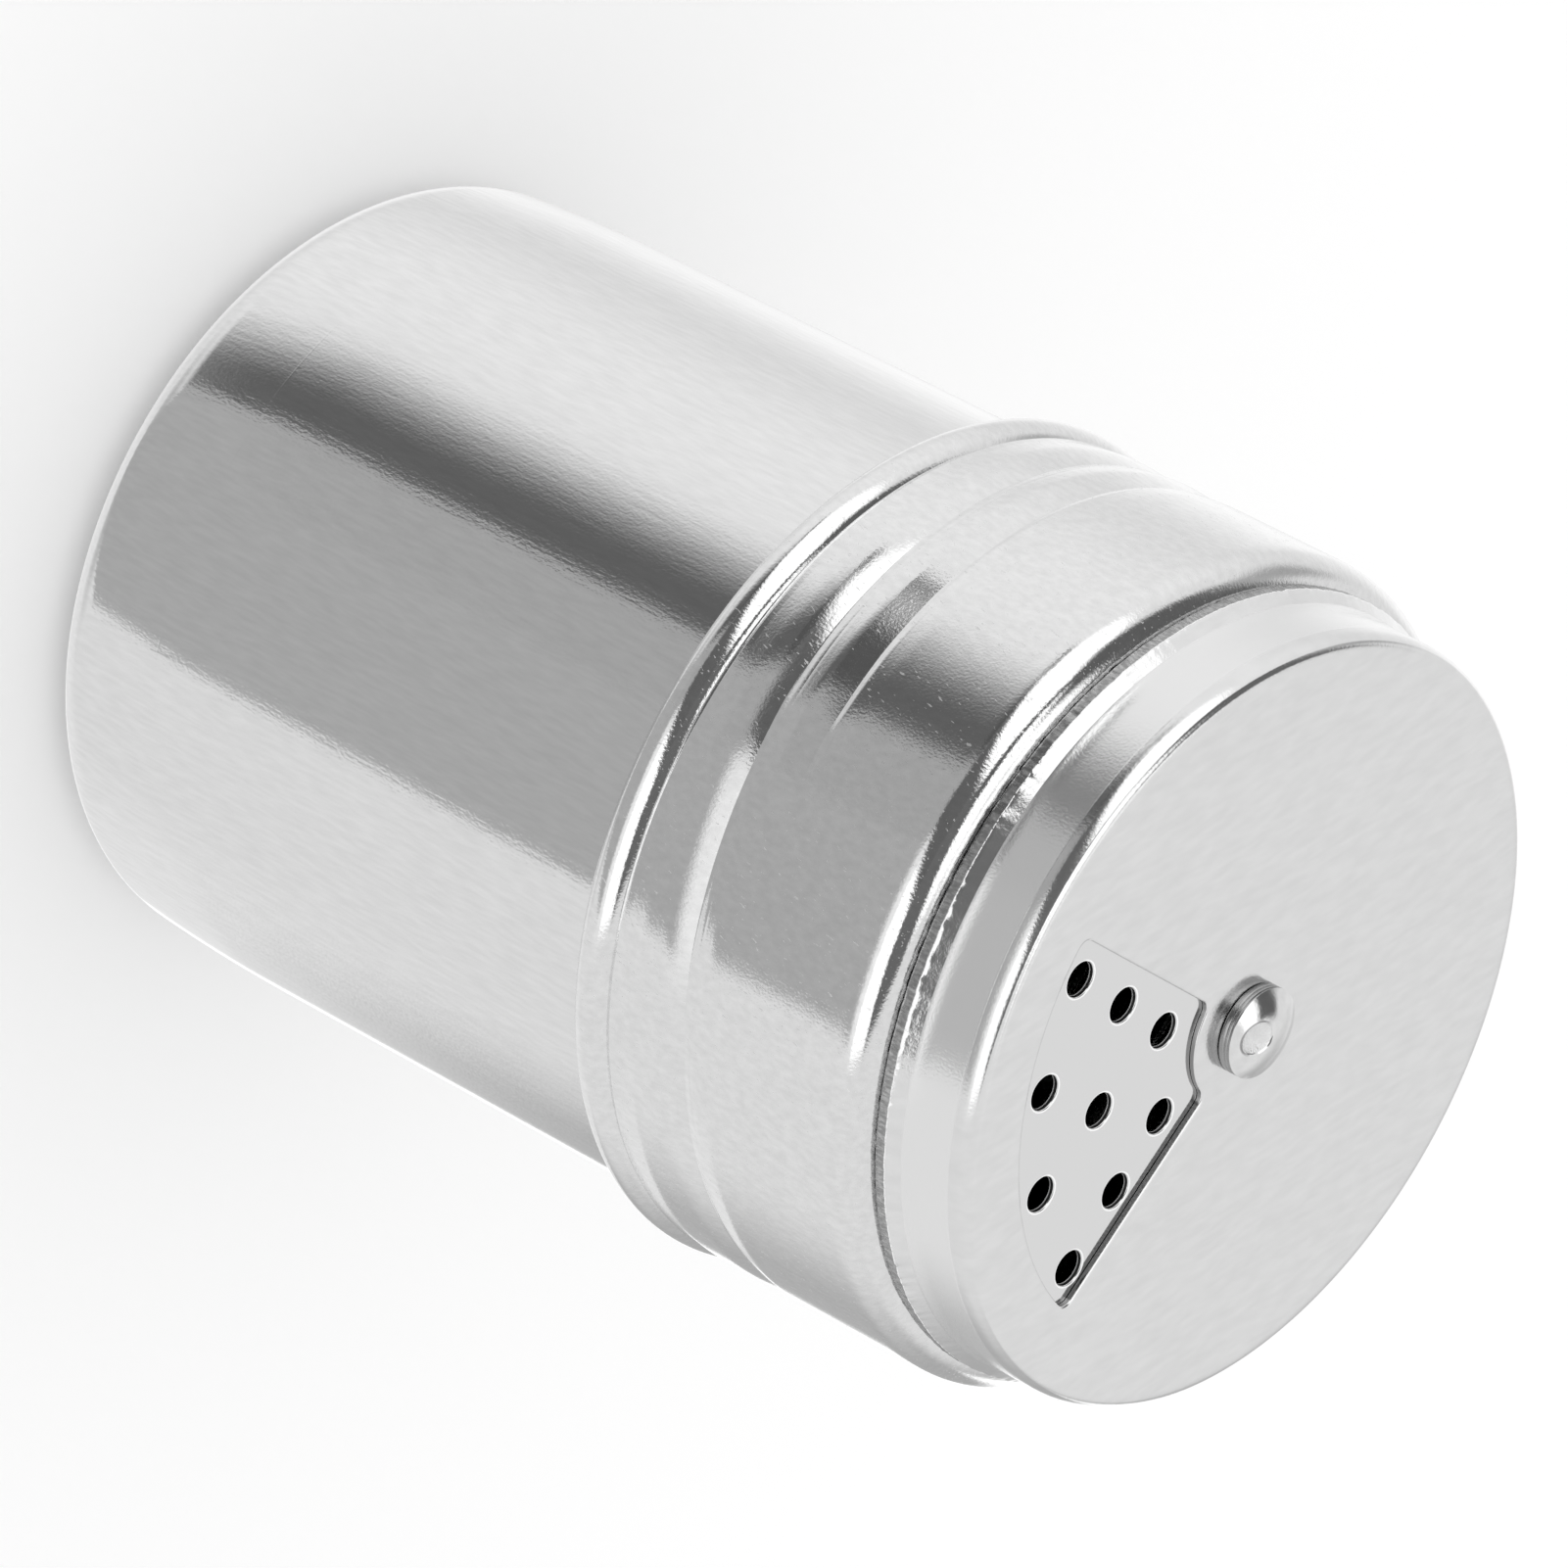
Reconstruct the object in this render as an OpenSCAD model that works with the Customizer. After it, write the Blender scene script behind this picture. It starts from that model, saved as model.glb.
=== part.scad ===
// Stainless spice shaker with a screw cap and a rotating sifter dial.
// Millimetres, +Z up, origin at the middle of the base. Every sheet part is
// written as the outline of its outside face, and the wall is a step inwards.

/* [Sheet] */
// Thickness of the sheet that all shells are drawn from
sheet = 0.45; // [0.35:0.05:0.5]

/* [Jar] */
// Radius of the jar's body
body_r = 31.3; // [31.2:0.1:31.6]
// Radius of the corner at the foot
base_round = 4.5; // [3:0.5:6]
// Lean of the wall just above that corner
foot_lean = 4.5; // [2:0.5:8]
// Height at which the leaning wall has eased into the straight one
foot_z = 16; // [10:1:24]
// Radius of the shallow panel pressed up into the base
panel_r = 20; // [12:1:22]
// Height of that panel
panel_rise = 0.6; // [0.3:0.1:1]
// Height at which the body turns in to the neck
shoulder_z = 57.4; // [50:0.2:57.6]
// Radius of the neck, between its threads
neck_r = 30.8; // [30.6:0.1:30.9]
// Height of the rolled mouth
mouth_z = 75; // [70:0.5:78]

/* [Screw cap] */
// Radius of the cap's plain wall
cap_r = 32.9; // [32.8:0.1:33.2]
// Height of the middle of the bead at the cap's lower edge
bead_z = 58.7; // [58.6:0.1:59.5]
// Radius of the bead's section
bead_round = 1.9; // [1.6:0.1:2]
// Height of the top of the cap's shoulder
ledge_z = 85.3; // [83:0.1:85.4]
// Radius of the cap's shoulder
ledge_round = 2.6; // [1.5:0.1:2.6]
// Radius of the raised sieve deck
deck_r = 29.4; // [29:0.1:29.5]
// Height of the sieve deck's top face
deck_z = 92.5; // [90:0.5:93]

/* [Sieve holes] */
// Diameter of the coarse holes
coarse_d = 2.75; // [2:0.25:3]
// Diameter of the fine holes
fine_d = 1.5; // [1:0.25:2]

/* [Dial] */
// Radius of the dial's skirt
dial_r = 30.2; // [30.1:0.1:30.4]
// Radius between the dial's face and its skirt
dial_round = 1.1; // [0.8:0.1:1.6]
// Length of the straight skirt below the face
skirt_l = 5.9; // [5:0.05:6]
// How far the lip at the skirt's edge flares out and down
lip = 1.1; // [0.5:0.05:1.1]
// Angle that the window spans
window_angle = 80; // [60:5:85]
// Radius of the window's edge beside the rivet
window_in = 6; // [5:0.05:7]
// Radius of the window's outer edge
window_out = 24.5; // [23:0.05:26]
// Angle between the window's middle and the coarse holes' middle
window_off = -1.3; // [-5:0.1:5]

/* [Rivet] */
// Radius of the rivet's head
head_r = 3.55; // [3:0.05:4]
// Height of the straight side of the head
head_side = 1.05; // [0.6:0.05:1.4]
// Height of the dome over that side
head_dome = 0.9; // [0.5:0.1:1.2]
// Radius of the shank
shank_r = 2; // [1.5:0.1:2.5]
// Radius of the dimple that the rivet set leaves in the head
struck_r = 1.4; // [1:0.1:1.8]
// Depth of that dimple
struck_deep = 0.3; // [0.1:0.05:0.4]

/* [Hidden] */
round_fn = 96;      // facets of a full turn
hole_fn = 24;       // facets of a small hole
gap = 0.05;         // running gap between sliding faces, and round the shank
front = -90;        // direction of the coarse holes' middle
cut = 5;            // how far a cutter runs past a face

shoulder_round = 1; // radii of the small bend from body to neck
curl = 0.12;        // hollow inside the rolled mouth
panel_round = 1;    // radii of the bend up to the base panel
valley = 0.25;      // how far the groove over the bead goes in
deck_round = 1.2;   // radius between the deck and its wall
fillet = 0.8;       // hollow radius where the deck's wall meets the shoulder
corner = 0.9;       // corner radius of the window
washer_r = 4.5;     // radius and thickness of the washer under the deck
washer_t = 0.5;
tail_r = 2.9;       // radius and thickness of the spread end of the rivet
tail_t = 0.9;
struck_at = [-0.4, -1.2];  // middle of the dimple, off the rivet's axis

dial_top = deck_z + gap + sheet;
steel = "silver";

function arc(c, r, from, to, n = 8) =
    [for (i = [0:n]) let (a = from + (to - from) * i / n) c + r * [cos(a), sin(a)]];

// A bend to one side and back, starting straight up at [r, z]; inwards where step > 0
function s_bend(r, z, step, q) =
    let (s = sign(step), a = acos(1 - abs(step) / (2 * q)), h = q * sin(a))
    concat(s > 0 ? arc([r - q, z], q, 0, a, 4) : arc([r + q, z], q, 180, 180 - a, 4),
           s > 0 ? arc([r - step + q, z + 2 * h], q, 180 + a, 180, 4)
                 : arc([r - step - q, z + 2 * h], q, -a, 0, 4));

// Drops each point that lies on the one before it, where two arcs meet
function tidy(path) =
    [for (i = [0:len(path) - 1]) if (i == 0 || norm(path[i] - path[i - 1]) > 0.001) path[i]];

function unit(v) = v / norm(v);
function ahead(path, i) = i == len(path) - 1 ? unit(path[i] - path[i - 1]) : unit(path[i + 1] - path[i]);
function behind(path, i) = i == 0 ? ahead(path, 0) : unit(path[i] - path[i - 1]);

// The same outline, moved square to itself by d, to the left of its run
function beside(path, d) =
    [for (i = [0:len(path) - 1])
        let (t = unit(behind(path, i) + ahead(path, i)), lean = t * ahead(path, i))
        path[i] + d / lean * [-t.y, t.x]];

function backwards(path) = [for (i = [len(path) - 1:-1:0]) path[i]];

// A turned shell of even wall, from the outline of its outside face
module spun_sheet(path) {
    outside = tidy(path);
    rotate_extrude($fn = round_fn)
        polygon(concat(outside, backwards(beside(outside, sheet))));
}

function mouth_roll() =
    arc([neck_r + curl, mouth_z - curl - sheet], curl, 180, -60, 10);

// The corner of the base, and over it the long curve that eases into the wall
function foot() =
    let (ease = base_round + (foot_z - base_round) / sin(foot_lean), ease_r = body_r - ease,
         corner_r = ease_r + (ease - base_round) * cos(foot_lean))
    concat(arc([corner_r, base_round], base_round, -90, -foot_lean, 12),
           arc([ease_r, foot_z], ease, -foot_lean, 0, 6));

function jar_outline() =
    let (a = acos(1 - panel_rise / (2 * panel_round)), run = panel_round * sin(a))
    concat([[0, panel_rise]],
           arc([panel_r - run, panel_rise - panel_round], panel_round, 90, 90 - a, 4),
           arc([panel_r + run, panel_round], panel_round, 270 - a, 270, 4),
           foot(),
           s_bend(body_r, shoulder_z, body_r - neck_r, shoulder_round),
           mouth_roll());

module jar() {
    color(steel) spun_sheet(jar_outline());
}

function cap_outline() =
    let (bead_c = [cap_r + 0.45 - bead_round, bead_z], rise = 52,
         wall_in = cap_r - valley, top = bead_c + bead_round * [cos(rise), sin(rise)])
    concat(arc(bead_c, bead_round, -60, rise, 12),
           [[wall_in, top.y + 0.5]],
           s_bend(wall_in, top.y + 0.8, -valley, 0.8),
           arc([cap_r - ledge_round, ledge_z - ledge_round], ledge_round, 0, 90, 8),
           arc([deck_r + fillet, ledge_z + fillet], fillet, 270, 180, 6),
           arc([deck_r - deck_round, deck_z - deck_round], deck_round, 0, 90, 6),
           [[0, deck_z]]);

// Rings of holes: each ring is [radius, count, angle between holes]
module hole_group(rings, d) {
    for (ring = rings, i = [0:ring[1] - 1])
        rotate([0, 0, (i - (ring[1] - 1) / 2) * ring[2]])
            translate([ring[0], 0, deck_z - cut])
                cylinder(d = d, h = 2 * cut, $fn = hole_fn);
}

coarse_rings = [[9.7, 2, 44.5], [15.65, 3, 30.5], [22, 4, 22.7]];
fine_rings = [[9.2, 3, 22], [12.4, 4, 17], [15.7, 5, 14], [19, 6, 12], [22.3, 7, 10.5]];

module screw_cap() {
    color(steel) difference() {
        spun_sheet(cap_outline());
        rotate([0, 0, front]) hole_group(coarse_rings, coarse_d);
        rotate([0, 0, front + 180]) hole_group(fine_rings, fine_d);
        translate([0, 0, deck_z - cut])
            cylinder(r = shank_r + gap, h = 2 * cut, $fn = round_fn);
    }
}

function dial_outline() =
    let (edge_z = dial_top - dial_round - skirt_l + lip)
    concat([[dial_r + lip, edge_z - lip], [dial_r + 0.1, edge_z - 0.1], [dial_r, edge_z]],
           arc([dial_r - dial_round, dial_top - dial_round], dial_round, 0, 90, 8),
           [[0, dial_top]]);

// A ring sector about +X with its four corners rounded
function window_outline() =
    let (half = window_angle / 2, near = window_in + corner, far = window_out - corner,
         near_a = half - asin(corner / near), far_a = half - asin(corner / far),
         upper = concat(
            arc([0, 0], window_in, 0, near_a, 8),
            arc(near * [cos(near_a), sin(near_a)], corner, near_a + 180, half + 90, 5),
            arc(far * [cos(far_a), sin(far_a)], corner, half + 90, far_a, 5),
            arc([0, 0], window_out, far_a, 0, 16)))
    concat(upper, backwards([for (p = upper) [p.x, -p.y]]));

module dial() {
    color(steel) difference() {
        spun_sheet(dial_outline());
        rotate([0, 0, front + window_off])
            translate([0, 0, dial_top - cut])
                linear_extrude(2 * cut) polygon(window_outline());
        translate([0, 0, dial_top - cut])
            cylinder(r = shank_r + gap, h = 2 * cut, $fn = round_fn);
    }
}

// Radius of the ball that a dome of this width and height is cut from
function ball(r, h) = (r * r + h * h) / (2 * h);

module rivet() {
    seat = dial_top + gap;
    crown = seat + head_side + head_dome;
    ball_r = ball(head_r, head_dome);
    half = asin(head_r / ball_r);
    tail_z = deck_z - sheet - gap - washer_t;
    dome_z = crown - ball_r + sqrt(ball_r * ball_r - struck_at * struck_at);
    punch_r = ball(struck_r, struck_deep);
    color(steel) difference() {
        rotate_extrude($fn = round_fn)
            polygon(concat([[0, tail_z - tail_t]],
                           arc([tail_r - 0.4, tail_z - tail_t + 0.4], 0.4, -90, 0, 4),
                           [[tail_r, tail_z], [shank_r, tail_z], [shank_r, seat], [head_r, seat]],
                           arc([0, crown - ball_r], ball_r, 90 - half, 90, 8)));
        translate([struck_at.x, struck_at.y, dome_z - struck_deep + punch_r])
            sphere(punch_r, $fn = round_fn);
    }
}

module rivet_washer() {
    color(steel) translate([0, 0, deck_z - sheet - gap - washer_t]) difference() {
        cylinder(r = washer_r, h = washer_t, $fn = round_fn);
        translate([0, 0, -cut]) cylinder(r = shank_r, h = 2 * cut, $fn = round_fn);
    }
}

jar();
screw_cap();
dial();
rivet();
rivet_washer();
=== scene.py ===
import math

import bpy
import numpy as np
from mathutils import Matrix, Vector


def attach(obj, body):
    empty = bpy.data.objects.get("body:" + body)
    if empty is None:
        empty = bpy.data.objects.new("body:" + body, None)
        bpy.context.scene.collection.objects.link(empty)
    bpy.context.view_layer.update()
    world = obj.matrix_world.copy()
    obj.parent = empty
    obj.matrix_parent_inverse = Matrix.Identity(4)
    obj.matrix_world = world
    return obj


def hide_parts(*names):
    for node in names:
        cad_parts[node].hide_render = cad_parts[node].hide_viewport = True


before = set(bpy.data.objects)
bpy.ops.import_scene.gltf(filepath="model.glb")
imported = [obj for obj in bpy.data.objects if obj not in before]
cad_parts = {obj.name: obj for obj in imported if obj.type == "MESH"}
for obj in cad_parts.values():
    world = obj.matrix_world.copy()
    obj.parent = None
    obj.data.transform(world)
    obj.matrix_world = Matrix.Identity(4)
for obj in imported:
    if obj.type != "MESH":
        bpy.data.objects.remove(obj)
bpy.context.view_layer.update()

# ---- The view ----
# The shaker stands on its base. A long lens looks down on it from the front left, and the
# camera lies on its side, so that the jar's axis runs down to the right as in the photograph.
mm = 0.001
view_turn, view_rise, view_roll = math.radians(-40.72), math.radians(34.77), math.radians(117.56)
view_far, view_lens, film_wide = 868.5 * mm, 269.8, 36
view_aim = Vector((0, 0, 47.1 * mm))

camera = bpy.data.objects.new("camera", bpy.data.cameras.new("camera"))
bpy.context.scene.collection.objects.link(camera)
camera.data.sensor_width = film_wide
camera.data.lens = view_lens
look = (Matrix.Rotation(view_turn, 4, "Z") @ Matrix.Rotation(math.pi / 2 - view_rise, 4, "X")
        @ Matrix.Rotation(view_roll, 4, "Z"))
camera.matrix_world = Matrix.Translation(view_aim + view_far * (look.to_3x3() @ Vector((0, 0, 1)))) @ look
bpy.context.scene.camera = camera
bpy.context.scene.view_settings.view_transform = "Standard"


# ---- The studio ----
# A plain pale floor under an even white light. The bright steel mirrors a ring of soft cards,
# pale, grey and dark, which stands round the shaker and which only its reflections see.
def add_node(tree, kind, settings=None, inputs=None):
    """Adds a shader node. An input is a plain value, or another node's output socket."""
    new = tree.nodes.new(kind)
    for name, value in (settings or {}).items():
        setattr(new, name, value)
    for name, value in (inputs or {}).items():
        if isinstance(value, bpy.types.NodeSocket):
            tree.links.new(value, new.inputs[name])
        else:
            new.inputs[name].default_value = value
    return new


def add_math(tree, kind, a, b=0.0, c=0.0):
    """Adds a sum or a product of values, or the like, and returns its output."""
    return add_node(tree, "ShaderNodeMath", {"operation": kind}, {0: a, 1: b, 2: c}).outputs[0]


def add_mix(tree, share, a, b):
    """Mixes two colours."""
    mix = add_node(tree, "ShaderNodeMix", {"data_type": "RGBA"}, {"Factor": share, 6: a, 7: b})
    return mix.outputs[2]


def add_range(tree, value, low, high, to_low=0.0, to_high=1.0, kind="LINEAR"):
    """Stretches a value from one range to another, and stops at its ends."""
    return add_node(tree, "ShaderNodeMapRange", {"interpolation_type": kind}, {
        "Value": value, "From Min": low, "From Max": high,
        "To Min": to_low, "To Max": to_high}).outputs[0]


def add_edge(tree, distance, half, soft):
    """The share of a card, from 1 inside its edge to 0 outside it."""
    return add_range(tree, distance, half - soft / 2, half + soft / 2, 1, 0, "SMOOTHSTEP")


def as_colour(grey):
    """A grey, or another plain value, as a colour."""
    return (grey, grey, grey, 1)


world = bpy.data.worlds.new("studio")
bpy.context.scene.world = world
world.use_nodes = True
sky = world.node_tree
sky.nodes.clear()
way = add_node(sky, "ShaderNodeSeparateXYZ", {}, {
    0: add_node(sky, "ShaderNodeTexCoord").outputs["Generated"]}).outputs
turn = add_math(sky, "SUBTRACT", add_math(sky, "ARCTAN2", way["Y"], way["X"]), view_turn - math.pi / 2)
turn = add_math(sky, "DEGREES", turn)
rise = add_math(sky, "DEGREES", add_math(sky, "ARCSINE", way["Z"]))

# Each card: its grey; its middle, half width and softness in degrees round from the camera's
# side; its middle, half height and softness in degrees over the level; its lean; is it round.
# A later card hides what it covers of the ones before it.
room_grey = 0.81
cards = [
    (1.07, -172, 30, 44, -32, 30, 24, 0, 0),     # pale wall behind the shaker, to the left
    (0.92, -82, 26, 40, -20, 42, 40, 0, 0),      # pale wall to the left
    (0.46, 152, 28, 44, -12, 30, 22, 0, 0),      # grey wall behind, to the right
    (0.86, 152, 46, 30, -62, 26, 3, 0, 0),       # pale floor under that wall
    (0.5, 12, 70, 60, -88, 22, 20, 0, 0),        # grey floor right under the shaker
    (1.3, 164, 5, 4, -18, 28, 8, -0.35, 0),      # slit of light behind, to the right
    (0.95, 25, 26, 22, -15, 13, 16, 0, 0),       # glow under the right softbox
    (0.13, -34, 15, 24, -32, 22, 24, -0.25, 0),  # dark gap between left softbox and table
    (0.45, 12, 37, 2.5, -60, 40, 12, 0, 0),      # grey table in front
    (0.42, -14, 11, 2.5, -26, 12, 8, 0, 0),      # grey strip between the softboxes
    (1.3, 27, 24, 4, 15, 20, 5, 0, 0),           # right softbox
    (0.13, -16, 24, 4, 22, 40, 8, 0.42, 0),      # dark slanting gap between the softboxes
    (0.15, 0, 52, 8, 54.5, 18.5, 4, 0, 0),       # dark flag over the softboxes
    (1.3, -56, 60, 10, 68, 20, 6, 3.57, 0),      # lower part of the bright slanting ceiling
    (0.1, -45, 18, 3, -22.5, 3, 2.5, 0, 0),      # dark lower frame of the left softbox
    (1.3, -53, 28, 4, 40, 62, 4, 0, 1),          # left softbox, which is round
    (0.12, -53, 30, 6, 53, 8, 3, 0, 0),          # dark flag over it
    (1.3, -56, 60, 10, 68, 16, 6, 3.57, 0),      # upper part of that ceiling
    (0.12, -116, 46, 12, 50, 14, 10, 0, 0),      # dark flag to the left
    (0.42, -132, 10, 14, 26, 12, 16, 0, 0),      # the stand of that flag
    (1.3, -150, 50, 20, 84, 20, 8, 0, 0)]        # bright ceiling behind
seen_light = as_colour(room_grey)
for grey, middle, half, soft, height, half_height, soft_height, lean, is_round in cards:
    over = add_math(sky, "SUBTRACT", rise, height)
    aside = add_math(sky, "SUBTRACT", add_math(sky, "MULTIPLY_ADD", over, -lean, turn), middle)
    aside = add_math(sky, "ABSOLUTE", add_math(sky, "WRAP", aside, 180, -180))
    over = add_math(sky, "ABSOLUTE", over)
    if is_round:
        across = add_math(sky, "POWER", add_math(sky, "DIVIDE", aside, half), 2)
        upwards = add_math(sky, "POWER", add_math(sky, "DIVIDE", over, half_height), 2)
        share = add_edge(sky, add_math(sky, "SQRT", add_math(sky, "ADD", across, upwards)), 1, soft / half)
    else:
        share = add_math(sky, "MULTIPLY", add_edge(sky, aside, half, soft),
                         add_edge(sky, over, half_height, soft_height))
    seen_light = add_mix(sky, share, seen_light, as_colour(grey))
mirrored = add_node(sky, "ShaderNodeLightPath").outputs["Is Glossy Ray"]
light = add_mix(sky, mirrored, as_colour(1), seen_light)
add_node(sky, "ShaderNodeOutputWorld", {}, {
    "Surface": add_node(sky, "ShaderNodeBackground", {}, {"Color": light}).outputs[0]})

floor_wide, floor_grey, floor_glow = 6, 0.93, 0.09
bpy.ops.object.select_all(action="DESELECT")
bpy.ops.mesh.primitive_plane_add(size=floor_wide, location=(0, 0, 0))
studio_floor = bpy.context.object
studio_floor.name = "studio_floor"
pale = bpy.data.materials.new("pale_floor")
pale.use_nodes = True
tree = pale.node_tree
tree.nodes.clear()
matt = add_node(tree, "ShaderNodeBsdfDiffuse", {}, {"Color": as_colour(floor_grey)})
glow = add_node(tree, "ShaderNodeEmission", {}, {"Strength": floor_glow})
lit = add_node(tree, "ShaderNodeAddShader", {}, {0: matt.outputs[0], 1: glow.outputs[0]})
mirrored = add_node(tree, "ShaderNodeLightPath").outputs["Is Glossy Ray"]
clear = add_node(tree, "ShaderNodeBsdfTransparent")
seen = add_node(tree, "ShaderNodeMixShader", {}, {0: mirrored, 1: lit.outputs[0], 2: clear.outputs[0]})
add_node(tree, "ShaderNodeOutputMaterial", {}, {"Surface": seen.outputs[0]})
studio_floor.data.materials.append(pale)

# ---- The jar ----
# One cup of stainless sheet, drawn in one piece. Its base is a shallow panel inside a standing
# ring, its foot leans in over a rounded corner, and a thread is rolled into its drawn-in neck.
sheet = 0.45
body_r, foot_round, foot_lean, foot_z = 31.3, 4.5, 4.5, 16
panel_r, panel_rise, panel_bend = 20, 0.6, 1
shoulder_z, shoulder_bend, neck_r, mouth_z, curl = 57.4, 1.0, 30.8, 75, 0.12
pitch, line_z, line_turn, thread_ends = 4.7, 64.33, 149, 0.5
neck_low, neck_high, neck_ridge, neck_ridge_z = 60.0, 73.4, 1.15, 1.2
neck_fades = ((-220, 0), (-160, 1), (240, 1), (300, 0))
neck_spaces = [-0.8 + 0.36 * step for step in range(13)]
jar_columns, sharp_turn = 240, 35


def arc(centre, radius, start, end, count):
    """Points along an arc in the plane of radius and height, its angles in degrees."""
    angles = np.radians(np.linspace(start, end, count + 1))
    return [(centre[0] + radius * math.cos(a), centre[1] + radius * math.sin(a)) for a in angles]


def run(start, end, count):
    """Evenly spaced points from one point to another."""
    return [tuple(point) for point in np.linspace(start, end, count + 1)]


def bend(radius, height, step, curve):
    """An S-bend that sets an upright wall outwards by step, or inwards where it is negative."""
    count = 5
    turn = math.degrees(math.acos(1 - abs(step) / (2 * curve)))
    tall = 2 * curve * math.sin(math.radians(turn))
    if step > 0:
        return (arc((radius + curve, height), curve, 180, 180 - turn, count)
                + arc((radius + step - curve, height + tall), curve, -turn, 0, count))
    return (arc((radius - curve, height), curve, 0, turn, count)
            + arc((radius + step + curve, height + tall), curve, 180 + turn, 180, count))


def ease(value, start, end):
    """Runs smoothly from 0 at start to 1 at end."""
    share = np.clip((value - start) / (end - start), 0, 1)
    return share * share * (3 - 2 * share)


def drop_doubles(points, apart):
    """The same points, without those that lie closer than this to the one before."""
    kept = [points[0]]
    for point in points[1:]:
        if math.dist(point, kept[-1]) > apart:
            kept.append(point)
    return kept


def draw_line(points):
    """Draws one point out along a line of (x, y, z) in millimetres, and stays in edit mode."""
    bpy.ops.object.select_all(action="DESELECT")
    bpy.ops.mesh.primitive_plane_add(size=mm, location=(0, 0, 0))
    bpy.ops.object.mode_set(mode="EDIT")
    bpy.ops.mesh.merge(type="CENTER")
    bpy.ops.transform.translate(value=[side * mm for side in points[0]])
    for start, end in zip(points, points[1:]):
        step = [(b - a) * mm for a, b in zip(start, end)]
        bpy.ops.mesh.extrude_vertices_move(TRANSFORM_OT_translate={"value": step})
    bpy.ops.mesh.select_all(action="SELECT")
    return bpy.context.object


def spin_outline(name, outline, columns):
    """Draws an outline of (radius, height), and spins it round the axis."""
    points = drop_doubles(outline, 1e-4)
    piece = draw_line([(radius, 0, height) for radius, height in points])
    piece.name = piece.data.name = name
    bpy.ops.mesh.spin(steps=columns, angle=-2 * math.pi, use_auto_merge=False,
                      center=(0, 0, 0), axis=(0, 0, 1))
    bpy.ops.object.mode_set(mode="OBJECT")
    return piece, points


def thread_rows(radius, low, high, spaces):
    """The rows of a threaded wall, spaced alike over each turn of the thread's line."""
    heights = [line_z + pitch * turn + space for turn in range(-3, 4) for space in spaces]
    return [(radius, height) for height in heights if low - pitch < height < high]


def roll_thread(piece, points, rows, low, high, press, middle, fades,
                drifts=((0, 0), (360, 0)), leans=((0, 0), (1, 0))):
    """Winds the rows of a spun wall up by one pitch a turn, and presses the thread into them.

    The thread keeps between the heights low and high. press gives how far the wall moves out, by
    the height over the thread's line, about the height middle, and by the share of the thread's
    depth. fades are points of (degrees along the thread, that share), drifts of (degrees round
    the axis, how far the roll ran off the true screw line), and leans of (height, how far the
    wall itself leans out)."""
    co = np.empty(3 * len(piece.data.vertices))
    piece.data.vertices.foreach_get("co", co)
    co = co.reshape(-1, len(points), 3) / mm
    first = points.index(rows[0])
    rows = slice(first, first + len(rows))
    radius, start = np.array(points[rows]).T
    turn = np.linspace(0, 1, len(co))[:, None]
    line = np.round((start - line_z - middle) / pitch)
    fade = np.interp(360 * (line + turn) - line_turn, *np.array(fades).T)
    drift = np.interp(360 * turn, *np.array(drifts).T)
    height = np.clip(start + pitch * turn + drift, low, high)
    inside = ease(np.minimum(height - low, high - height), 0, thread_ends)
    pressed = press(start - line_z - pitch * line, fade) * inside
    leaning = np.interp(height, *np.array(leans).T)
    moved = 1 + (pressed + leaning) / radius
    co[:, rows, 0] *= moved
    co[:, rows, 1] *= moved
    co[:, rows, 2] = height
    piece.data.vertices.foreach_set("co", (co * mm).ravel())
    piece.data.update()


def weld(piece):
    """Merges the seam and the poles of a spun piece, and turns its faces outwards.

    An open shell can come out turned inwards as a whole, so the way that most of it faces is
    summed up, and turned round where that points to its middle."""
    bpy.ops.object.mode_set(mode="EDIT")
    bpy.ops.mesh.select_all(action="SELECT")
    bpy.ops.mesh.remove_doubles(threshold=1e-6)
    bpy.ops.mesh.normals_make_consistent(inside=False)
    bpy.ops.object.mode_set(mode="OBJECT")
    faces = piece.data.polygons
    middle = sum((face.center for face in faces), Vector()) / len(faces)
    if sum(face.area * face.normal.dot(face.center - middle) for face in faces) < 0:
        bpy.ops.object.mode_set(mode="EDIT")
        bpy.ops.mesh.flip_normals()
        bpy.ops.object.mode_set(mode="OBJECT")


def choose_only(piece):
    """Makes this piece the only one chosen."""
    bpy.ops.object.select_all(action="DESELECT")
    piece.select_set(True)
    bpy.context.view_layer.objects.active = piece


def apply_modifier(piece, kind, **settings):
    """Adds a modifier to a piece and applies it."""
    choose_only(piece)
    modifier = piece.modifiers.new(kind.lower(), kind)
    for name, value in settings.items():
        setattr(modifier, name, value)
    bpy.ops.object.modifier_apply(modifier=modifier.name)


def thicken(piece):
    """Gives a shell the thickness of its sheet, inwards."""
    apply_modifier(piece, "SOLIDIFY", thickness=sheet * mm, offset=-1, use_even_offset=True)


def polish(piece):
    """Smooths a piece's shading, but leaves an edge where its faces meet at a sharp turn."""
    choose_only(piece)
    bpy.ops.object.shade_smooth_by_angle(angle=math.radians(sharp_turn))
    apply_modifier(piece, "WEIGHTED_NORMAL", keep_sharp=True)


def add_noise(tree, size, seed, turn=(0, 0, 0), detail=2.0):
    """Adds noise whose grains are so many millimetres long, and returns its value."""
    place = add_node(tree, "ShaderNodeMapping", {"vector_type": "TEXTURE"}, {
        "Vector": add_node(tree, "ShaderNodeTexCoord").outputs["Object"],
        "Location": (seed, seed * 0.7, seed * 0.3), "Rotation": turn,
        "Scale": [side * mm for side in size]})
    noise = add_node(tree, "ShaderNodeTexNoise", {}, {
        "Vector": place.outputs[0], "Scale": 1.0, "Detail": detail, "Roughness": 0.5})
    return noise.outputs["Fac"]


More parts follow.
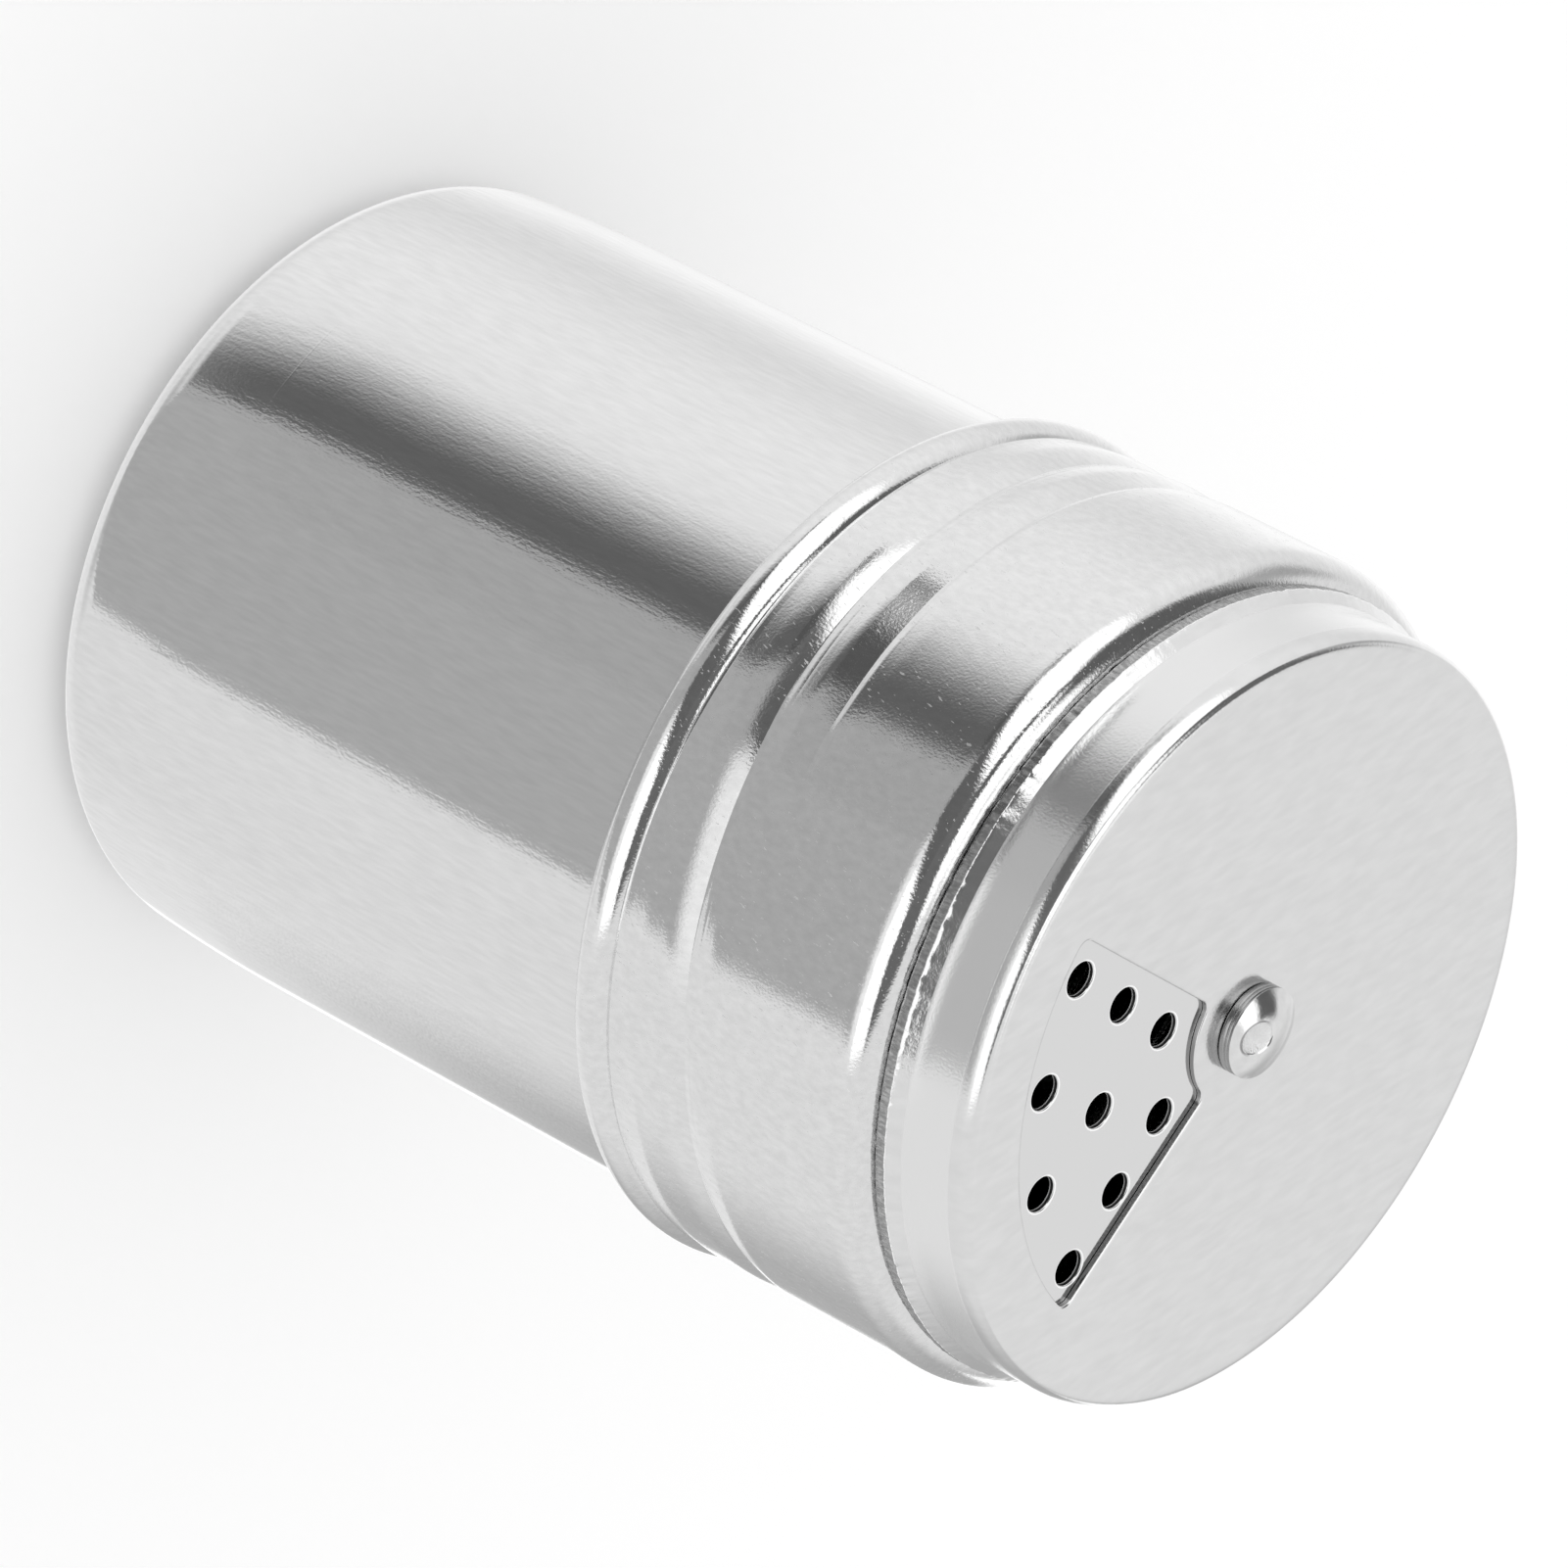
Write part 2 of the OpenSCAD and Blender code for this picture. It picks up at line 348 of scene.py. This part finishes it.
def add_length(tree, vector):
    """The length of a vector in the plane of X and Y."""
    level = add_node(tree, "ShaderNodeVectorMath", {"operation": "MULTIPLY"}, {0: vector, 1: (1, 1, 0)})
    return add_node(tree, "ShaderNodeVectorMath", {"operation": "LENGTH"}, {
        0: level.outputs[0]}).outputs["Value"]


def add_place(tree):
    """The radius and the height of the place being shaded, in millimetres."""
    place = add_node(tree, "ShaderNodeVectorMath", {"operation": "SCALE"}, {
        0: add_node(tree, "ShaderNodeTexCoord").outputs["Object"], "Scale": 1 / mm})
    height = add_node(tree, "ShaderNodeSeparateXYZ", {}, {0: place.outputs[0]})
    return add_length(tree, place.outputs[0]), height.outputs["Z"]


def add_line(tree, value, middle, half):
    """A value of 1 where another value meets the middle, which falls to 0 at half the width."""
    away = add_math(tree, "ABSOLUTE", add_math(tree, "SUBTRACT", value, middle))
    return add_range(tree, away, 0, half, 1, 0, "SMOOTHSTEP")


def add_relief(tree, shader, reliefs):
    """Adds layers of relief to a shader, each a (height from 0 to 1, depth in millimetres)."""
    for height, depth in reliefs:
        bump = add_node(tree, "ShaderNodeBump", {}, {"Height": height, "Distance": depth * mm})
        if shader.inputs["Normal"].links:
            tree.links.new(shader.inputs["Normal"].links[0].from_socket, bump.inputs["Normal"])
        tree.links.new(bump.outputs[0], shader.inputs["Normal"])


def new_steel(name, dark, light, stain, rough):
    """A bare steel whose grey runs from dark to light with a stain, a value from 0 to 1."""
    steel = bpy.data.materials.new(name)
    steel.use_nodes = True
    tree = steel.node_tree
    shader = tree.nodes["Principled BSDF"]
    shader.inputs["Metallic"].default_value = 1
    shader.inputs["Roughness"].default_value = rough
    share = add_range(tree, stain(tree), 0.3, 0.7)
    tree.links.new(add_mix(tree, share, as_colour(dark), as_colour(light)), shader.inputs["Base Color"])
    return steel, tree, shader


def clothe(piece, material, body, node):
    """Gives a piece its material, its body and the node that it stands for."""
    piece.data.materials.clear()
    piece.data.materials.append(material)
    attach(piece, body)
    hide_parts(node)


def neck_press(over, share):
    """How far the neck's thread stands out, by the height over its line."""
    return neck_ridge * share * ease(over, -0.5, 0.6) * (1 - ease(over, 0.9, 2.4))


panel_turn = math.degrees(math.acos(1 - panel_rise / (2 * panel_bend)))
panel_run = panel_bend * math.sin(math.radians(panel_turn))
foot_curve = foot_round + (foot_z - foot_round) / math.sin(math.radians(foot_lean))
foot_r = body_r - foot_curve
corner_r = foot_r + (foot_curve - foot_round) * math.cos(math.radians(foot_lean))
neck_rows = thread_rows(neck_r, neck_low, neck_high, neck_spaces)
jar_outline = (
    run((0, panel_rise), (panel_r - panel_run, panel_rise), 4)
    + arc((panel_r - panel_run, panel_rise - panel_bend), panel_bend, 90, 90 - panel_turn, 5)
    + arc((panel_r + panel_run, panel_bend), panel_bend, 270 - panel_turn, 270, 5)
    + arc((corner_r, foot_round), foot_round, -90, -foot_lean, 18)
    + arc((foot_r, foot_z), foot_curve, -foot_lean, 0, 8)
    + run((body_r, foot_z), (body_r, shoulder_z), 6)
    + bend(body_r, shoulder_z, neck_r - body_r, shoulder_bend)
    + [(neck_r, neck_low)] + neck_rows + [(neck_r, neck_high)]
    + arc((neck_r + curl, mouth_z - curl - sheet), curl, 180, -60, 10))
jar, jar_points = spin_outline("jar_shell", jar_outline, jar_columns)
roll_thread(jar, jar_points, neck_rows, neck_low, neck_high, neck_press, neck_ridge_z, neck_fades)
weld(jar)
thicken(jar)
polish(jar)

draw_mark_z = 11.6
jar_steel, tree, shader = new_steel(
    "jar_steel", 0.8, 0.87, lambda tree: add_noise(tree, (0.4, 0.4, 2.4), 1, detail=5), 0.09)
_, height = add_place(tree)
add_relief(tree, shader, [
    (add_noise(tree, (16, 16, 30), 2), 0.05),
    (add_line(tree, height, draw_mark_z, 0.12), 0.003),
    (add_noise(tree, (0.4, 0.4, 5), 3, detail=3), 0.007),
    (add_noise(tree, (0.22, 0.22, 0.35), 4, detail=1), 0.006)])
clothe(jar, jar_steel, "jar", "jar")

# ---- The screw cap ----
# One cap of stainless sheet with a bead round its lower edge, a thread rolled inwards into its
# wall and a raised deck. The deck is punched with coarse holes, and with fine ones opposite.
cap_r, bead_z, bead_round, bead_out, bead_end, bead_bend = 32.9, 58.7, 1.9, 0.443, 55, 0.4
ledge_z, deck_r, deck_z, deck_round, fillet, deck_flat_r = 84.95, 29.4, 92.5, 1.2, 0.8, 27.4
wall_z, cap_low, cap_high, cap_waist, waist_z = 81.8, 61.2, 73.6, 0.15, 62.9
shoulder_curves = [(6.5, 7, 4), (2.25, 39, 8), (2.8, 75, 8), (1.5, 90, 3)]
cap_valley = -0.95
cap_fades = ((-180, 0), (-120, 1), (300, 1), (390, 0.7), (428, 0.65), (438, 0))
cap_leans = ((cap_low, -cap_waist), (waist_z, 0))
cap_drifts = ((0, 0.6), (90, 0.1), (169, -0.1), (209, -0.35), (220, -0.3), (229, 0), (249, 0.4),
              (274, 0.95), (294, 1.2), (320, 1.1), (360, 0.6))
cap_spaces = [-3.5, -3.2, -2.9, -2.6, -2.3, -2.0, -1.7, -1.4, -1.15, -0.97, -0.86, -0.8, -0.74,
              -0.45, -0.07, 0, 0.07, 0.35, 0.7, 1.05]
cap_columns = 300
coarse_r, fine_r, rivet_hole_r = 1.375, 0.75, 2.05
rim_wide, rim_deep, punch_down, punch_up = 0.24, 0.13, 3, 1
# How far over the face a cutter's rim ends, so that no two faces lie on each other
hair = 0.002
# Each ring of holes: its radius, how many holes it has, and the degrees between them
coarse_rings = [(9.7, 2, 44.5), (15.65, 3, 30.5), (22, 4, 22.7)]
fine_rings = [(9.2, 3, 22), (12.4, 4, 17), (15.7, 5, 14), (19, 6, 12), (22.3, 7, 10.5)]
# The rim's outline, from the cut's upright wall out to the level face, as shares of its size
rim_curve = [(1 - math.cos(math.radians(turn)), math.sin(math.radians(turn)) - 1)
             for turn in range(0, 91, 15)]


def curl_over(radius, top, curves):
    """Bends an upright wall over to the level, at the height top, through arcs that follow on.

    Each curve is (its radius, the tilt it reaches in degrees, its number of steps)."""
    tilts = [0] + [tilt for _, tilt, _ in curves]
    height = top - sum(size * (math.sin(math.radians(end)) - math.sin(math.radians(start)))
                       for (size, end, _), start in zip(curves, tilts))
    points = [(radius, height)]
    for (size, end, count), start in zip(curves, tilts):
        lean = math.radians(start)
        centre = (points[-1][0] - size * math.cos(lean), points[-1][1] - size * math.sin(lean))
        points += arc(centre, size, start, end, count)[1:]
    return points


def close_flat(piece, radius, height):
    """Closes a shell over its open ring at this radius and height with one flat face."""
    choose_only(piece)
    bpy.ops.object.mode_set(mode="EDIT")
    bpy.ops.mesh.select_mode(type="VERT")
    bpy.ops.mesh.select_all(action="DESELECT")
    bpy.ops.object.mode_set(mode="OBJECT")
    for vertex in piece.data.vertices:
        x, y, z = vertex.co / mm
        vertex.select = abs(math.hypot(x, y) - radius) < 0.01 and abs(z - height) < 0.01
    bpy.ops.object.mode_set(mode="EDIT")
    bpy.ops.mesh.edge_face_add()
    bpy.ops.object.mode_set(mode="OBJECT")
    weld(piece)


def make_punch(radius, height, columns):
    """A round punch that leaves a rounded rim in the sheet whose top is at this height."""
    top = height + hair
    outline = [(0, height - punch_down), (radius, height - punch_down)]
    outline += [(radius + rim_wide * wide, top + rim_deep * deep) for wide, deep in rim_curve]
    outline += [(radius + rim_wide, top + punch_up), (0, top + punch_up)]
    punch, _ = spin_outline("punch", outline, columns)
    weld(punch)
    return punch


def cut_out(piece, cutters):
    """Cuts the cutters out of a piece and removes them."""
    bpy.ops.object.select_all(action="DESELECT")
    for cutter in cutters:
        cutter.select_set(True)
    bpy.context.view_layer.objects.active = cutters[0]
    if len(cutters) > 1:
        bpy.ops.object.join()
    apply_modifier(piece, "BOOLEAN", operation="DIFFERENCE", solver="EXACT", object=cutters[0])
    bpy.data.objects.remove(cutters[0])


def cap_press(over, share):
    """How far the cap's thread is pressed in, by the height over its line.

    The wall bows in more and more below the line, evenly near the thread's end, and springs back
    in a small step and a shorter slope."""
    bowed = np.clip((share - 0.7) / 0.25, 0, 1)
    deep = np.interp(over, (-3.3, -2.85, -2.4, -2, -1.6, -1.2, -0.8, -0.74),
                     (0, 0.015, 0.061, 0.121, 0.193, 0.274, 0.372, 0.362))
    even = 0.4 * np.clip((over + 3.2) / 2.4, 0, 1)
    below = bowed * deep + (1 - bowed) * even
    above = np.interp(over, (-0.74, -0.07, 0, 0.07, 1.1, 1.4), (0.4, 0.17, 0.18, 0.16, 0.02, 0))
    weaker = np.where(over > -0.5, 0.5 + 0.5 * bowed, 1)
    return -share * np.minimum(below, weaker * above)


def add_band(tree, value, low, high):
    """A value of 1 from low to high, and 0 elsewhere."""
    return add_math(tree, "MULTIPLY", add_math(tree, "GREATER_THAN", value, low),
                    add_math(tree, "LESS_THAN", value, high))


def repaint_steel(tree, shader, where, grey, rough, metal=1):
    """Changes a steel's grey, polish and metal share where a value is 1: on its nicks and sheared edges,
    and where shade or highlights are painted in.
    """
    for name, value in (("Base Color", grey), ("Roughness", rough), ("Metallic", metal)):
        links = shader.inputs[name].links
        old = links[0].from_socket if links else as_colour(shader.inputs[name].default_value)
        tree.links.new(add_mix(tree, where, old, as_colour(value)), shader.inputs[name])


cap_rows = thread_rows(cap_r, cap_low, cap_high, cap_spaces)
bead = arc((cap_r + bead_out - bead_round, bead_z), bead_round, -60, bead_end, 16)
cap_outline = (
    bead
    + bend(bead[-1][0], bead[-1][1], cap_r - cap_waist - bead[-1][0], bead_bend)
    + [(cap_r - cap_waist, cap_low)] + cap_rows + [(cap_r, cap_high)]
    + run((cap_r, cap_high), (cap_r, wall_z), 5)
    + curl_over(cap_r, ledge_z, shoulder_curves)
    + arc((deck_r + fillet, ledge_z + fillet), fillet, 270, 180, 6)
    + arc((deck_r - deck_round, deck_z - deck_round), deck_round, 0, 90, 8)
    + [(deck_flat_r, deck_z)])
cap, cap_points = spin_outline("cap_shell", cap_outline, cap_columns)
roll_thread(cap, cap_points, cap_rows, cap_low, cap_high, cap_press, cap_valley, cap_fades,
            cap_drifts, cap_leans)
weld(cap)
close_flat(cap, deck_flat_r, deck_z)
thicken(cap)

punches = [make_punch(rivet_hole_r, deck_z, 64)]
for rings, radius, columns, front in ((coarse_rings, coarse_r, 40, -90), (fine_rings, fine_r, 28, 90)):
    for ring_r, count, spread in rings:
        for place in range(count):
            turn = math.radians(front + (place - (count - 1) / 2) * spread)
            punch = make_punch(radius, deck_z, columns)
            step = (ring_r * mm * math.cos(turn), ring_r * mm * math.sin(turn), 0)
            punch.data.transform(Matrix.Translation(step))
            punches.append(punch)
cut_out(cap, punches)
polish(cap)

cap_steel, tree, shader = new_steel(
    "cap_steel", 0.79, 0.88, lambda tree: add_noise(tree, (0.5, 0.5, 0.9), 11, detail=5), 0.065)
radius, height = add_place(tree)
on_wall = add_range(tree, height, deck_z - 3.5, deck_z - 1.5, 1, 0.1)
on_deck = add_math(tree, "LESS_THAN", radius, deck_flat_r - 0.4)
nicks = add_range(tree, add_noise(tree, (0.2, 0.2, 0.8), 14, (0.25, 0.1, 0), 1), 0.69, 0.72)
repaint_steel(tree, shader, add_math(tree, "MULTIPLY", on_wall, nicks), 0.85, 0.4)
# Each band of a hole, from the deck's top: its low and high edge, grey, roughness, metal share
hole_bands = [
    (-sheet + 0.01, -0.36, 1.0, 0.6, 0.5),  # lower edge broken by the punch, rough, and painted pale as a highlight
    (-0.36, -rim_deep, 0.3, 0.35, 1),       # sheared wall, rough, and painted dark as shade in the hole
    (-0.035, -0.002, 1.0, 0.5, 0),          # painted highlight, white all round the rim
    (-0.002, 0.01, 0.835, 0.08, 1)]         # the deck itself, without a stain
for low, high, grey, rough, metal in hole_bands:
    hole_band = add_math(tree, "MULTIPLY", add_band(tree, height, deck_z + low, deck_z + high), on_deck)
    repaint_steel(tree, shader, hole_band, grey, rough, metal)
add_relief(tree, shader, [
    (add_noise(tree, (14, 14, 14), 12), 0.03),
    (add_math(tree, "MULTIPLY", on_wall, add_noise(tree, (0.2, 0.2, 0.24), 13, detail=3)), 0.009)])
clothe(cap, cap_steel, "cap", "screw_cap")

# ---- The dial ----
# The turning cover, one pressed disc of stainless sheet with fine straight grain on its face.
# Its skirt ends in a wrinkled lip, and a sector window is cut out of it over the holes.
gap = 0.05
dial_top = deck_z + gap + sheet
dial_r, dial_flat_r, skirt_low, skirt_high = 30.2, 28.4, 88.8, 91.0
edge_curves = [(5.7, 7, 3), (1.5, 39, 7), (0.35, 55, 4), (0.9, 80, 6), (3, 90, 2)]
crease_z, flare, flare_rise, flare_turn = 86.95, 7, 1.455, 12
lip_r, lip_z, lip_round, lip_fold, lip_side, fold_turn = 31.04, 86.04, 0.25, 0.8, 0.6, 142
inner_r, inner_round, inner_z = dial_r - sheet, 0.7, 87.6
press_mark_z, washer_mark_r = 91.3, 4.7
window_half, window_in, window_out, window_off, corner = 40, 6, 24.5, -1.3, 0.9
dial_columns, window_rim, window_down, window_up = 1080, 0.34, 2, 1


def wrinkle(piece, points):
    """Crumples the lip of a spun skirt a little, most at its edge, where the sheet was gathered."""
    co = np.empty(3 * len(piece.data.vertices))
    piece.data.vertices.foreach_get("co", co)
    co = co.reshape(-1, len(points), 3)
    wild = np.random.default_rng(7).normal(size=(len(co) - 1, len(points)))
    wild = wild.mean(axis=1, keepdims=True) * len(points) ** 0.5 + 0.5 * wild
    wild = 0.5 * wild + 0.25 * (np.roll(wild, 1, 0) + np.roll(wild, -1, 0))
    wild = np.vstack([wild, wild[:1]])
    height = np.array(points)[:, 1]
    depth = 0.02 * (1 - ease(height, lip_z - 0.05, lip_z + 0.15))
    depth += 0.005 * (1 - ease(height, crease_z - 0.25, crease_z))
    co[:, :, :2] *= (1 + wild * depth / dial_r)[:, :, None]
    co[:, :, 2] += wild * depth * 0.5 * mm
    piece.data.vertices.foreach_set("co", co.ravel())
    piece.data.update()


flare_end = arc((dial_r + flare, crease_z + flare_rise), flare, 180 + flare_turn, 180, 5)
dial_outline = (
    [(dial_flat_r, dial_top - sheet)]
    + arc((inner_r - inner_round, dial_top - sheet - inner_round), inner_round, 90, 0, 5)
    + [(inner_r, inner_z), (inner_r + 0.15, crease_z - 0.15)]
    + arc((lip_r - lip_round, lip_z - lip_fold), lip_round, -fold_turn, 0, 8)
    + run((lip_r, lip_z - lip_side), (lip_r, lip_z - 0.06), 3)
    + run((lip_r - 0.03, lip_z + 0.03), (flare_end[0][0], flare_end[0][1] - 0.03), 5)
    + flare_end
    + run((dial_r, skirt_low), (dial_r, skirt_high), 3)
    + curl_over(dial_r, dial_top, edge_curves)
    + [(dial_flat_r, dial_top)])
dial, dial_points = spin_outline("dial_shell", dial_outline, dial_columns)
wrinkle(dial, dial_points)
weld(dial)
close_flat(dial, dial_flat_r, dial_top - sheet)
close_flat(dial, dial_flat_r, dial_top)


def window_outline():
    """The window's corners and arcs round +X, as points in the plane, in millimetres."""
    near, far = window_in + corner, window_out - corner
    near_turn = window_half - math.degrees(math.asin(corner / near))
    far_turn = window_half - math.degrees(math.asin(corner / far))

    def spot(radius, turn):
        return (radius * math.cos(math.radians(turn)), radius * math.sin(math.radians(turn)))

    upper = (arc((0, 0), window_in, 0, near_turn, 10)
             + arc(spot(near, near_turn), corner, near_turn + 180, window_half + 90, 6)
             + arc(spot(far, far_turn), corner, window_half + 90, far_turn, 6)
             + arc((0, 0), window_out, far_turn, 0, 24))
    lower = [(x, -y) for x, y in reversed(upper)]
    return drop_doubles(upper + lower, 1e-3)[:-1]


def way_out(outline):
    """The direction out of a closed outline, square to it at each of its points."""
    ahead = np.roll(outline, -1, 0) - outline
    ahead /= np.linalg.norm(ahead, axis=1)[:, None]
    ahead += np.roll(ahead, 1, 0)
    ahead /= np.linalg.norm(ahead, axis=1)[:, None]
    x, y = outline.T
    round_way = np.sign(np.sum(x * np.roll(y, -1) - y * np.roll(x, -1)))
    return np.column_stack([ahead[:, 1], -ahead[:, 0]]) * round_way


def make_window_cutter():
    """Draws the window's outline, fills it and pulls it up through the face, wider at the rim."""
    outline = np.array(window_outline())
    levels = [-window_down] + [hair + rim_deep * deep for _, deep in rim_curve] + [window_up]
    cutter = draw_line([(x, y, dial_top + levels[0]) for x, y in outline])
    bpy.ops.mesh.edge_face_add()
    for low, high in zip(levels, levels[1:]):
        bpy.ops.mesh.extrude_region_move(TRANSFORM_OT_translate={"value": (0, 0, (high - low) * mm)})
    bpy.ops.mesh.select_all(action="SELECT")
    bpy.ops.mesh.normals_make_consistent(inside=False)
    bpy.ops.object.mode_set(mode="OBJECT")
    outwards = way_out(outline)
    for vertex in cutter.data.vertices:
        x, y, z = vertex.co / mm
        near = np.argmin(np.hypot(outline[:, 0] - x, outline[:, 1] - y))
        wider = window_rim * np.interp(z - dial_top, levels[1:-1], [wide for wide, _ in rim_curve])
        vertex.co.x += wider * outwards[near, 0] * mm
        vertex.co.y += wider * outwards[near, 1] * mm
    cutter.data.transform(Matrix.Rotation(math.radians(window_off - 90), 4, "Z"))
    return cutter


cut_out(dial, [make_window_cutter()])
cut_out(dial, [make_punch(rivet_hole_r, dial_top, 64)])
polish(dial)

dial_steel, tree, shader = new_steel(
    "dial_steel", 0.81, 0.865, lambda tree: add_noise(tree, (0.8, 2.4, 1.6), 21, detail=6), 0.15)
radius, height = add_place(tree)
on_face = add_math(tree, "LESS_THAN", radius, dial_flat_r - 1.4)
at_lip = add_math(tree, "GREATER_THAN", radius, lip_r - 0.2)
outside = add_math(tree, "GREATER_THAN", radius, dial_r - 0.1)
patches = add_range(tree, add_noise(tree, (0.2, 0.2, 0.6), 25), 0.35, 0.6, 0.6, 1)
specks = add_range(tree, add_noise(tree, (0.2, 0.2, 0.2), 24), 0.4, 0.5)
# The lip's fold is painted dark as shade, mottled by the patches
fold_shade = add_math(tree, "MULTIPLY", at_lip, patches)
# Bright specks along the fold's edge are painted highlights
fold_edge_glints = add_math(tree, "MULTIPLY", at_lip, specks)
# Each band of the dial: its low and high edge, its place, its grey, roughness and metal share
dial_bands = [
    (dial_top - sheet + 0.01, dial_top - rim_deep, on_face, 0.34, 0.3, 1),  # the window's sheared cut, rough, and painted dark as shade
    (ledge_z - 1, lip_z - 0.1, fold_shade, 0.34, 0.3, 1),                         # the lip's fold, painted dark and mottled as shade in the gap under it
    (crease_z, press_mark_z, outside, 0.86, 0.17, 0.86),                    # the skirt
    (lip_z - 0.1, lip_z - 0.02, fold_edge_glints, 0.95, 0.5, 0)]                   # painted highlights: bright specks along the fold's edge
for low, high, where, grey, rough, metal in dial_bands:
    repaint_steel(tree, shader, add_math(tree, "MULTIPLY", add_band(tree, height, low, high), where),
         grey, rough, metal)
add_relief(tree, shader, [
    (add_line(tree, height, press_mark_z, 0.12), 0.008),
    (add_line(tree, radius, washer_mark_r, 0.8), 0.008),
    (add_noise(tree, (0.14, 3, 3), 22, detail=2), 0.0025),
    (add_noise(tree, (0.22, 0.22, 0.22), 23), 0.01)])
clothe(dial, dial_steel, "dial", "dial")

# ---- The rivet ----
# A headed stainless rivet, which holds the dial to the deck. Its domed head bears the small oval
# dimple of the punch that set it, and its tail is spread over the washer.
head_r, head_side, head_dome, head_edge, shank_r = 3.55, 1.05, 0.891, 0.12, 2
tail_r, tail_t, tail_round = 2.9, 0.9, 0.4
struck_r, struck_deep, struck_at, struck_oval = 1.4, 0.26, (-0.4, -1.2), (0.93, 1.1)
washer_t = 0.5
seat = dial_top + gap
crown = seat + head_side + head_dome
ball_r = (head_r ** 2 + head_dome ** 2) / (2 * head_dome)
half = math.degrees(math.asin(head_r / ball_r))
tail_z = deck_z - sheet - gap - washer_t

rivet_outline = (
    [(0, tail_z - tail_t)]
    + arc((tail_r - tail_round, tail_z - tail_t + tail_round), tail_round, -90, 0, 6)
    + [(tail_r, tail_z), (shank_r, tail_z), (shank_r, seat)]
    + arc((head_r - head_edge, seat + head_edge), head_edge, -90, 0, 3)
    # two shallow grooves that the heading tool left round the head's side
    + arc((head_r + 0.11, seat + 0.5), 0.16, 225, 135, 5)
    + arc((head_r + 0.06, seat + 0.8), 0.1, 230, 130, 4)
    + [(head_r, seat + head_side - 0.08)]
    + arc((0, crown - ball_r), ball_r, 90 - half, 90, 16))
rivet, _ = spin_outline("rivet_pin", rivet_outline, 128)
weld(rivet)

# The striking punch: a flat end with a rounded edge, leant square to the dome
struck_lean = math.asin(math.hypot(*struck_at) / ball_r)
struck_turn = Matrix.Rotation(struck_lean, 4, (-struck_at[1], struck_at[0], 0))
struck_place = (struck_at[0] * mm, struck_at[1] * mm,
                (crown - ball_r + ball_r * math.cos(struck_lean)) * mm)
punch, _ = spin_outline("punch", [
    (0, 0), (struck_r - 0.25, 0.01), (struck_r - 0.08, 0.06), (struck_r, 0.16),
    (struck_r + 0.05, 0.6), (0, 0.6)], 96)
weld(punch)
punch.data.transform(
    Matrix.Translation(struck_place) @ struck_turn @ Matrix.Diagonal((*struck_oval, 1, 1))
    @ Matrix.Translation((0, 0, -struck_deep * mm)))
cut_out(rivet, [punch])
polish(rivet)

rivet_steel, tree, shader = new_steel(
    "rivet_steel", 0.8, 0.88, lambda tree: add_noise(tree, (1, 1, 1), 31, detail=5), 0.1)
radius, height = add_place(tree)
on_side = add_math(tree, "MULTIPLY", add_math(tree, "GREATER_THAN", radius, head_r - 0.2),
                   add_math(tree, "LESS_THAN", height, seat + head_side - 0.02))
# The head's upright side is rough and tool-marked, and painted dark as shade
repaint_steel(tree, shader, on_side, 0.42, 0.25)
place = add_node(tree, "ShaderNodeMapping", {"vector_type": "TEXTURE"}, {
    "Vector": add_node(tree, "ShaderNodeTexCoord").outputs["Object"],
    "Location": struck_place, "Rotation": struck_turn.to_euler(),
    "Scale": (struck_oval[0] * mm, struck_oval[1] * mm, mm)}).outputs[0]
away = add_length(tree, place)
shaded_side = add_node(tree, "ShaderNodeVectorMath", {"operation": "DOT_PRODUCT"}, {
    0: place, 1: (-0.65, -0.76, 0)}).outputs["Value"]
on_top = add_math(tree, "GREATER_THAN", height, seat + head_side)
struck = add_math(tree, "MULTIPLY", on_top, add_math(tree, "LESS_THAN", away, struck_r - 0.15))
# Painted shade: a dark line round the dimple's rim on its shaded side
struck_edge_shade = add_math(tree, "MULTIPLY", add_line(tree, away, struck_r + 0.02, 0.14),
                       add_math(tree, "MULTIPLY", on_top, add_range(tree, shaded_side, -0.3, 0.5)))
repaint_steel(tree, shader, struck_edge_shade, 0.3, 0.3)
add_relief(tree, shader, [
    (add_noise(tree, (0.25, 0.25, 0.25), 32, detail=2), 0.005),
    (add_math(tree, "MULTIPLY", on_side, add_noise(tree, (3, 3, 0.07), 33)), 0.02),
    (add_math(tree, "MULTIPLY", struck, add_noise(tree, (0.16, 0.16, 0.16), 34, detail=3)), 0.05)])
clothe(rivet, rivet_steel, "rivet_set", "rivet")

# ---- The rivet's washer ----
# A flat stainless washer under the deck, cut from strip and tumbled smooth. The rivet's tail is
# spread over it, so that the dial is held down but still turns.
washer_r, washer_round = 4.5, 0.1
washer_outline = (
    [(shank_r, tail_z + washer_t), (shank_r, tail_z)]
    + arc((washer_r - washer_round, tail_z + washer_round), washer_round, -90, 0, 3)
    + arc((washer_r - washer_round, tail_z + washer_t - washer_round), washer_round, 0, 90, 3)
    + [(shank_r, tail_z + washer_t)])
washer, _ = spin_outline("washer_ring", washer_outline, 96)
weld(washer)
polish(washer)

washer_steel, tree, shader = new_steel(
    "washer_steel", 0.68, 0.78, lambda tree: add_noise(tree, (0.1, 4, 4), 41, detail=4), 0.25)
add_relief(tree, shader, [(add_noise(tree, (0.1, 3, 3), 42), 0.002)])
clothe(washer, washer_steel, "rivet_set", "rivet_washer")
